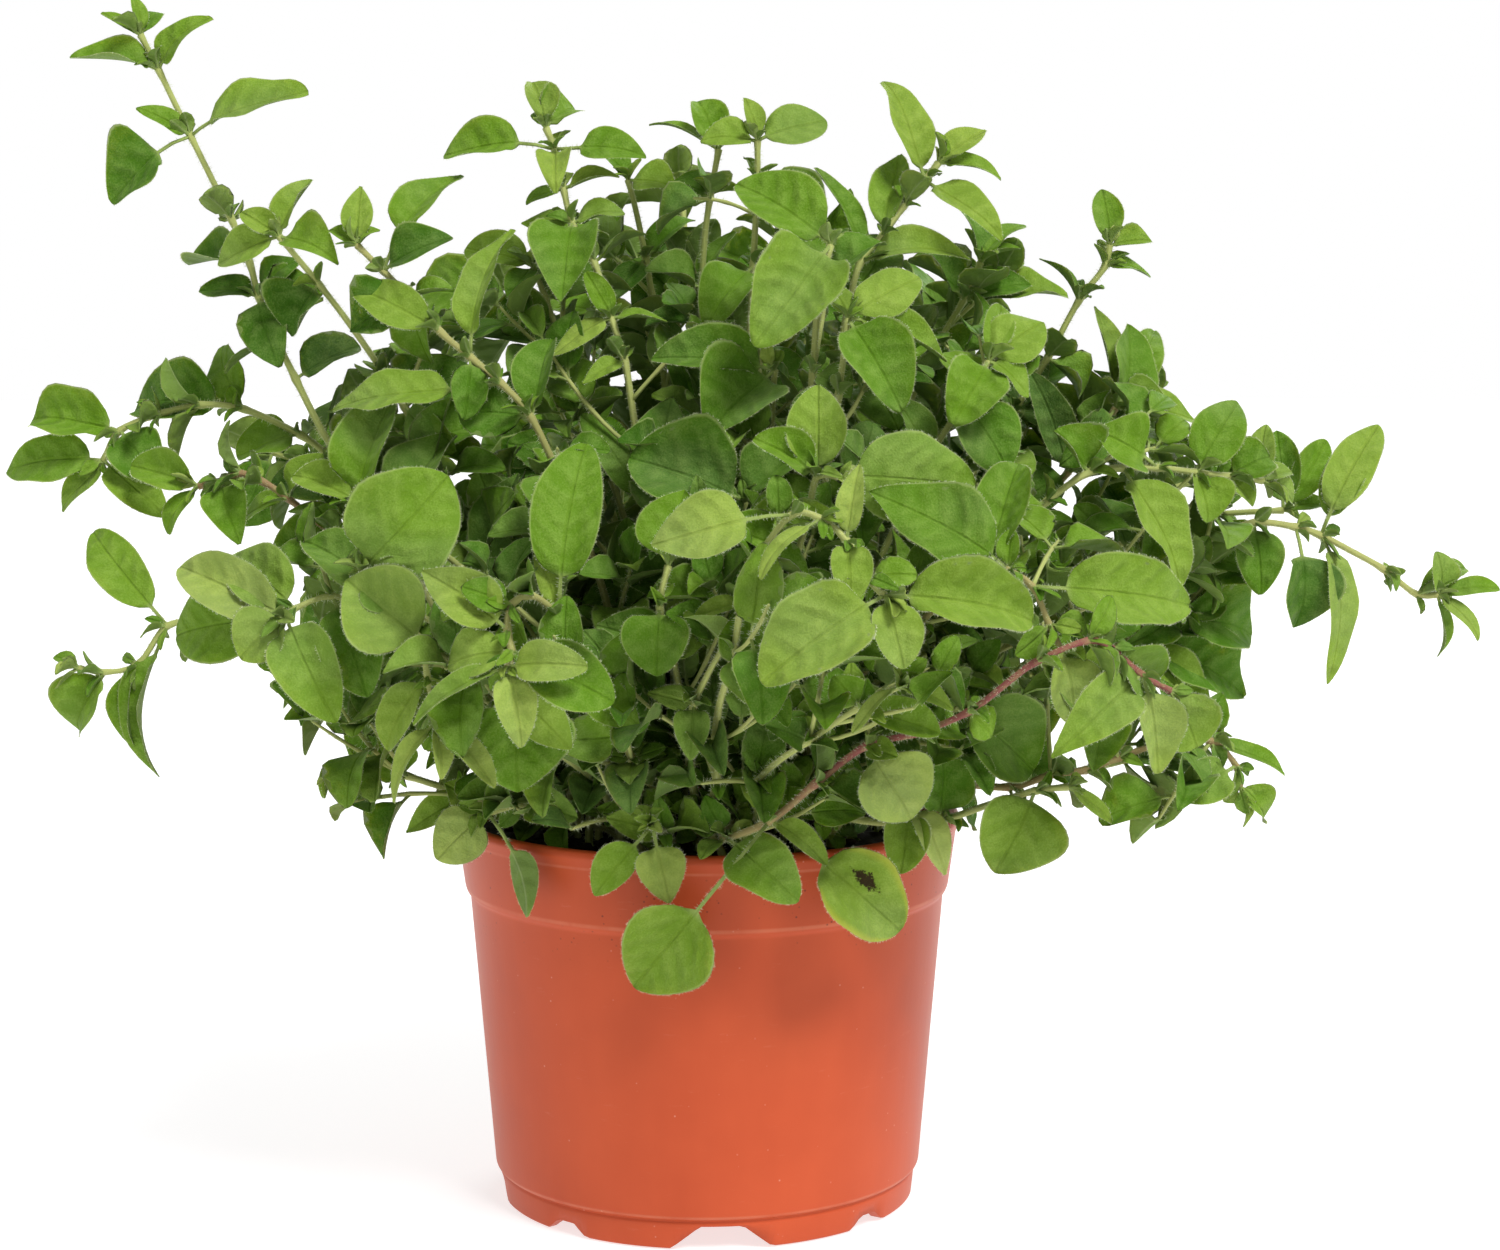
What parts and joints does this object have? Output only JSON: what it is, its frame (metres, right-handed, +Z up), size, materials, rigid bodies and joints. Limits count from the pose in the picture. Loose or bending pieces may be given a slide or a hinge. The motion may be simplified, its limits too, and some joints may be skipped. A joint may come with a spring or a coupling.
{
  "type": "potted herb plant",
  "caption": "Bushy marjoram herb with small oval leaves on thin upright stems, growing from dark soil in a round tapered plastic nursery pot with a broad rim band",
  "frame": {"origin": "Bottom centre of the whole plant's bounding box, on the surface it stands on. The plant leans, so the pot's own axis stands 10.7 mm towards -X and 3.3 mm towards -Y of the origin.", "axes": "+Z is up. +X runs along the plant's widest spread, to the right of someone facing it. -Y is the side that faces the viewer."},
  "size_m": [0.3546, 0.2248, 0.2781],
  "materials": {
    "pot_plastic": "satin",
    "potting_soil": "rough",
    "marjoram_green": "matte"
  },
  "bodies": {
    "root": {"pot": "pot_plastic", "soil": "potting_soil", "shoot_01": "marjoram_green", "shoot_02": "marjoram_green", "shoot_03": "marjoram_green", "shoot_04": "marjoram_green", "shoot_05": "marjoram_green", "shoot_06": "marjoram_green", "shoot_07": "marjoram_green", "shoot_08": "marjoram_green", "shoot_09": "marjoram_green", "shoot_10": "marjoram_green", "shoot_11": "marjoram_green", "shoot_12": "marjoram_green", "shoot_13": "marjoram_green", "shoot_14": "marjoram_green", "shoot_15": "marjoram_green", "shoot_16": "marjoram_green", "shoot_17": "marjoram_green", "shoot_18": "marjoram_green", "shoot_19": "marjoram_green", "shoot_20": "marjoram_green", "shoot_21": "marjoram_green", "shoot_22": "marjoram_green", "shoot_23": "marjoram_green", "shoot_24": "marjoram_green", "shoot_25": "marjoram_green", "shoot_26": "marjoram_green", "shoot_27": "marjoram_green", "shoot_28": "marjoram_green", "shoot_29": "marjoram_green", "shoot_30": "marjoram_green", "shoot_31": "marjoram_green", "shoot_32": "marjoram_green", "shoot_33": "marjoram_green", "shoot_34": "marjoram_green", "shoot_35": "marjoram_green", "shoot_36": "marjoram_green", "shoot_37": "marjoram_green", "shoot_38": "marjoram_green", "shoot_39": "marjoram_green", "shoot_40": "marjoram_green", "shoot_41": "marjoram_green", "shoot_42": "marjoram_green", "shoot_43": "marjoram_green", "shoot_44": "marjoram_green", "shoot_45": "marjoram_green", "shoot_46": "marjoram_green", "shoot_47": "marjoram_green", "shoot_48": "marjoram_green", "shoot_49": "marjoram_green", "shoot_50": "marjoram_green", "shoot_51": "marjoram_green", "shoot_52": "marjoram_green", "shoot_53": "marjoram_green", "shoot_54": "marjoram_green", "shoot_55": "marjoram_green", "shoot_56": "marjoram_green", "shoot_57": "marjoram_green", "shoot_58": "marjoram_green"}
  },
  "joints": []
}
